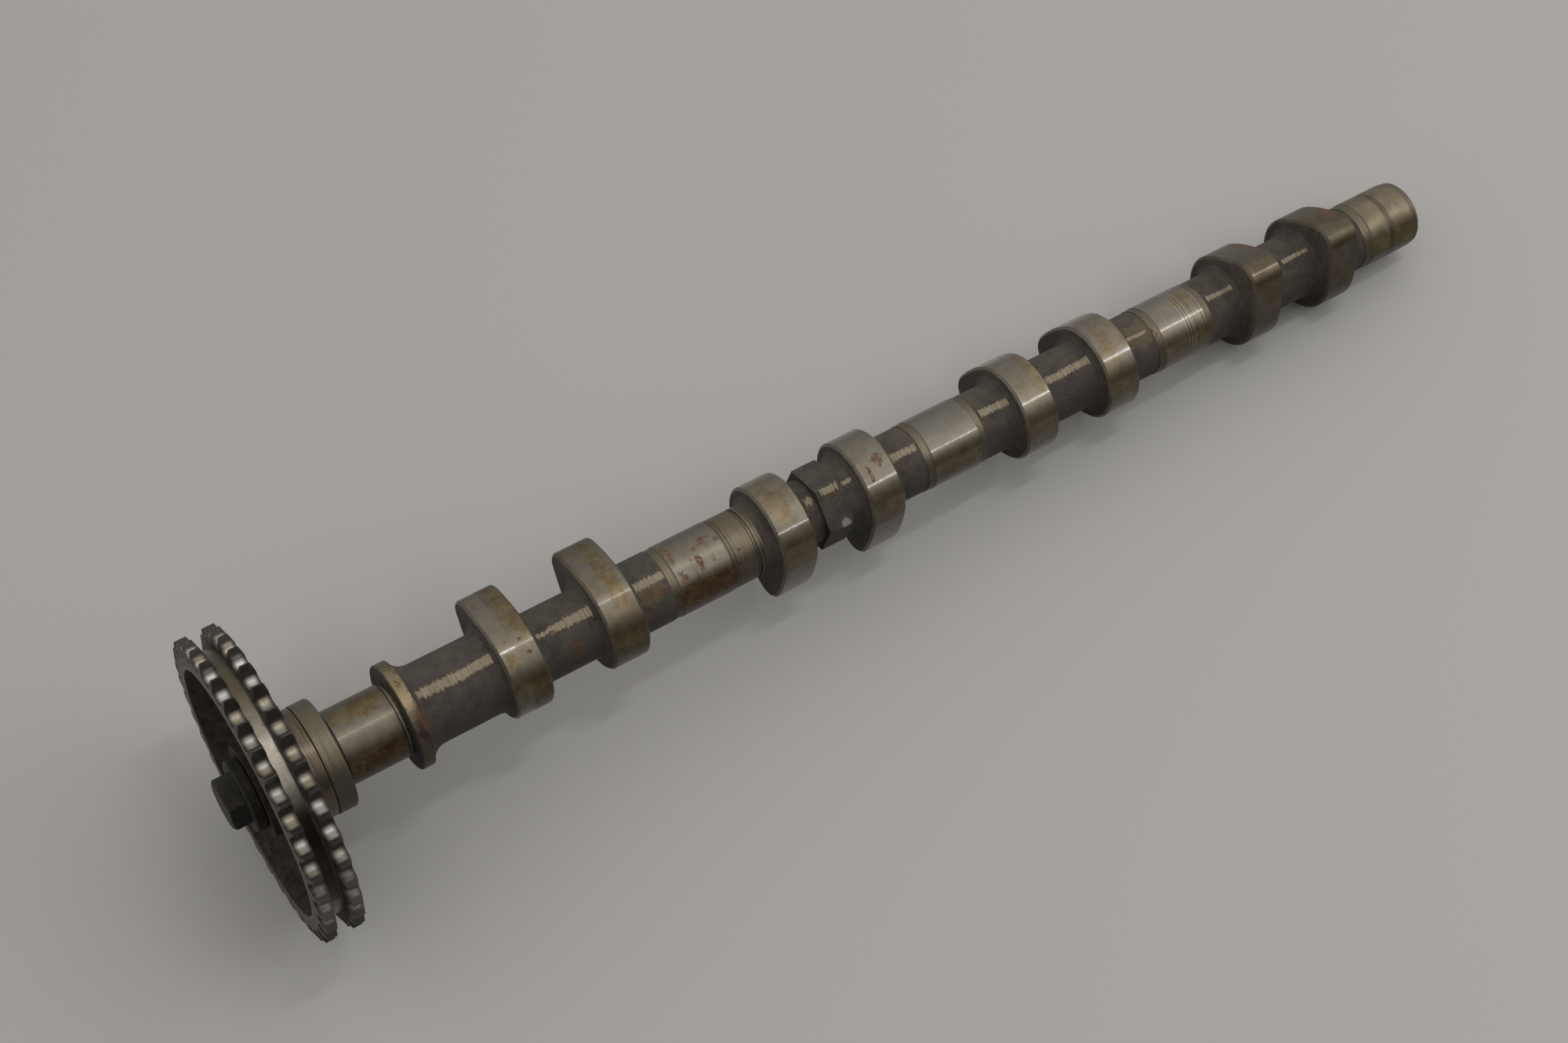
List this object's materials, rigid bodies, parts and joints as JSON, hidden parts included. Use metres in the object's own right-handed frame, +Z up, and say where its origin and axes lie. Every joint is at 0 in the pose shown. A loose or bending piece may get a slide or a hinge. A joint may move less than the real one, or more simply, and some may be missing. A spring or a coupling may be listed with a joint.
{
  "type": "camshaft",
  "caption": "Overhead camshaft with ground journals, paired cam lobes, a cast spanner hexagon and a duplex roller-chain sprocket held by a central bolt.",
  "frame": {"origin": "bottom centre of the bounding box, on the floor the part lies on", "axes": "+X from the sprocket to the rear end, seen from above; the shaft's own axis drops 4.58 degrees towards the rear end; +Z up; the shaft's axis lies in the plane y = 0"},
  "size_m": [0.5342, 0.1142, 0.1149],
  "materials": {
    "cast_shaft": "cast skin with ground journals and lobes",
    "sprocket_steel": "oil-stained turned steel",
    "washer_steel": "blackened",
    "bolt_steel": "blackened",
    "dowel_steel": "ground"
  },
  "bodies": {
    "root": {"camshaft": "cast_shaft", "timing_sprocket": "sprocket_steel", "bolt_washer": "washer_steel", "sprocket_bolt": "bolt_steel", "locating_dowel": "dowel_steel"}
  },
  "joints": []
}
